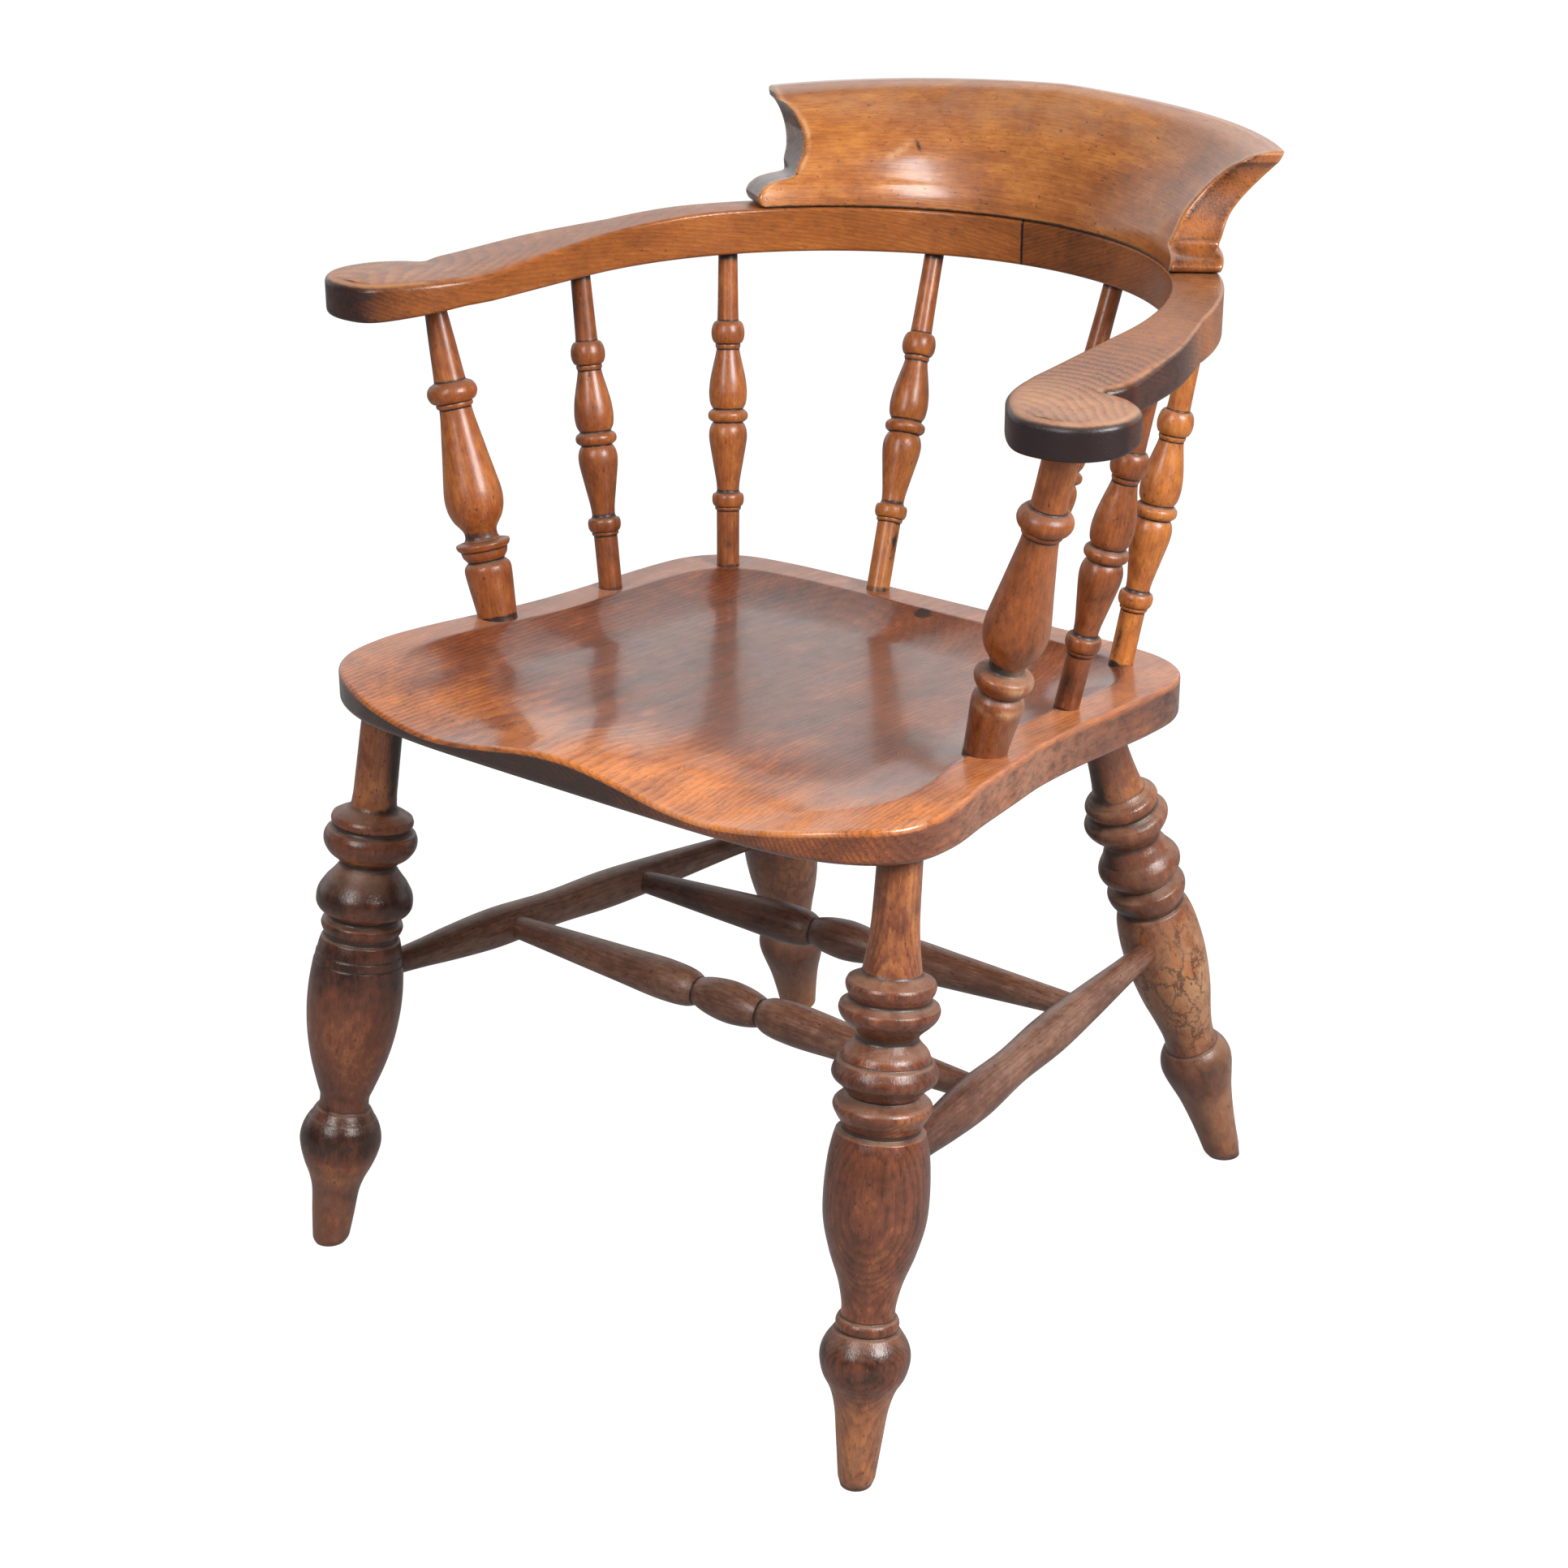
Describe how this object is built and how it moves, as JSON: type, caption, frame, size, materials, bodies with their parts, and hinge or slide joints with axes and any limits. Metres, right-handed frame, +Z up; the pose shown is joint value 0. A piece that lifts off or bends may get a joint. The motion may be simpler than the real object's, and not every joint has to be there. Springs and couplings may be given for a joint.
{
  "type": "captain's chair",
  "caption": "Low-backed wooden armchair with turned legs and spindles, a dished seat, a continuous arm bow and a scooped crest rail.",
  "frame": {"origin": "bottom centre of the chair's box, on the floor", "axes": "+Z up, the sitter faces -Y, +X is the right side of the picture"},
  "size_m": [0.6316, 0.5616, 0.769],
  "materials": {
    "seat": "waxed elm, reddish brown, glossy from use",
    "leg": "stained and waxed turned hardwood, dark in the grooves, worn at the feet",
    "stretcher": "dark grey-brown stained hardwood, satin",
    "upright": "stained and polished turned hardwood, amber brown",
    "bow": "stained and polished hardwood, orange brown, worn pale on the arm ends",
    "crest": "stained and polished hardwood, golden brown",
    "dowel": "bare hardwood dowel, hidden in its holes"
  },
  "bodies": {
    "root": {"seat": "seat", "front_left_leg": "leg", "front_right_leg": "leg", "back_left_leg": "leg", "back_right_leg": "leg", "left_side_stretcher": "stretcher", "right_side_stretcher": "stretcher", "front_cross_stretcher": "stretcher", "back_cross_stretcher": "stretcher", "left_arm_post": "upright", "right_arm_post": "upright", "left_front_spindle": "upright", "left_middle_spindle": "upright", "left_rear_spindle": "upright", "right_front_spindle": "upright", "right_middle_spindle": "upright", "right_rear_spindle": "upright", "arm_bow_left": "bow", "arm_bow_right": "bow", "crest_rail": "crest", "crest_dowel_1": "dowel", "crest_dowel_2": "dowel", "crest_dowel_3": "dowel", "crest_dowel_4": "dowel", "bow_joint_dowel_1": "dowel", "bow_joint_dowel_2": "dowel"}
  },
  "joints": []
}
